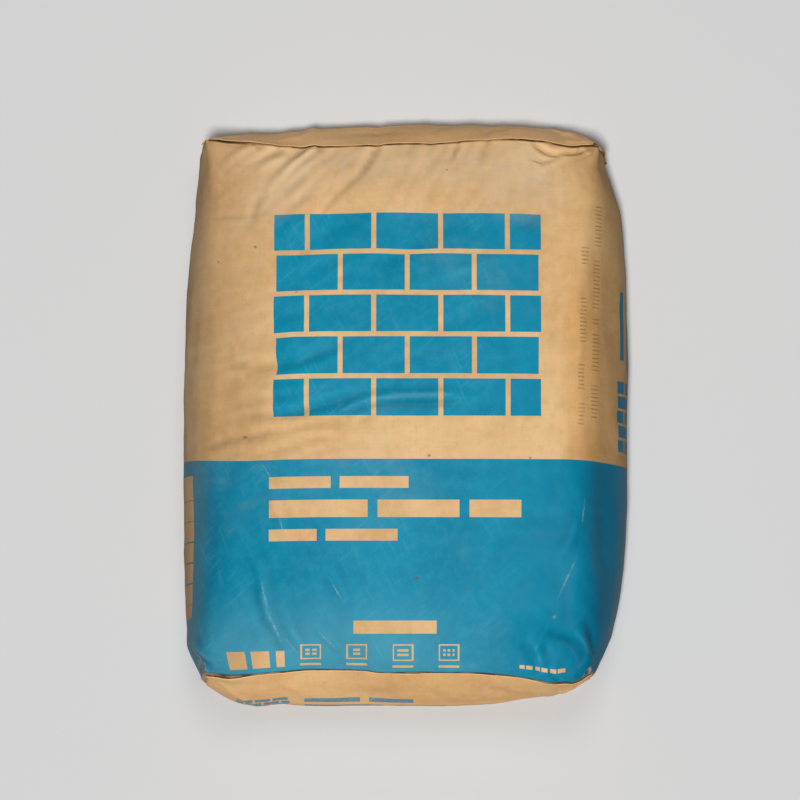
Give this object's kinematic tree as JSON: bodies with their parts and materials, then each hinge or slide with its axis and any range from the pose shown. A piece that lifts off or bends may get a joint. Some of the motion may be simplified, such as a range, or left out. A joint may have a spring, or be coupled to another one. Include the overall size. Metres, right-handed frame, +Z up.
{
  "type": "cement bag",
  "caption": "Full pasted-end paper valve sack of cement lying flat on its back, kraft brown with a blue printed lower half.",
  "frame": {"origin": "the middle of the underside, on the floor that the sack lies on", "axes": "+Z up through the face, +Y along the tube towards the end with the valve, +X across the face"},
  "size_m": [0.3949, 0.5165, 0.1255],
  "materials": {
    "sack_paper": "unbleached kraft paper with fine crepe lines, light dust and creases, printed matt blue over the lower half",
    "patch_paper": "unbleached kraft paper, matt, creased, with a worn lifted edge",
    "sleeve_paper": "darker kraft paper, matt, dusty with cement at its mouth"
  },
  "bodies": {
    "root": {"sack": "sack_paper", "top_end_patch": "patch_paper", "bottom_end_patch": "patch_paper", "valve_sleeve": "sleeve_paper"}
  },
  "joints": []
}
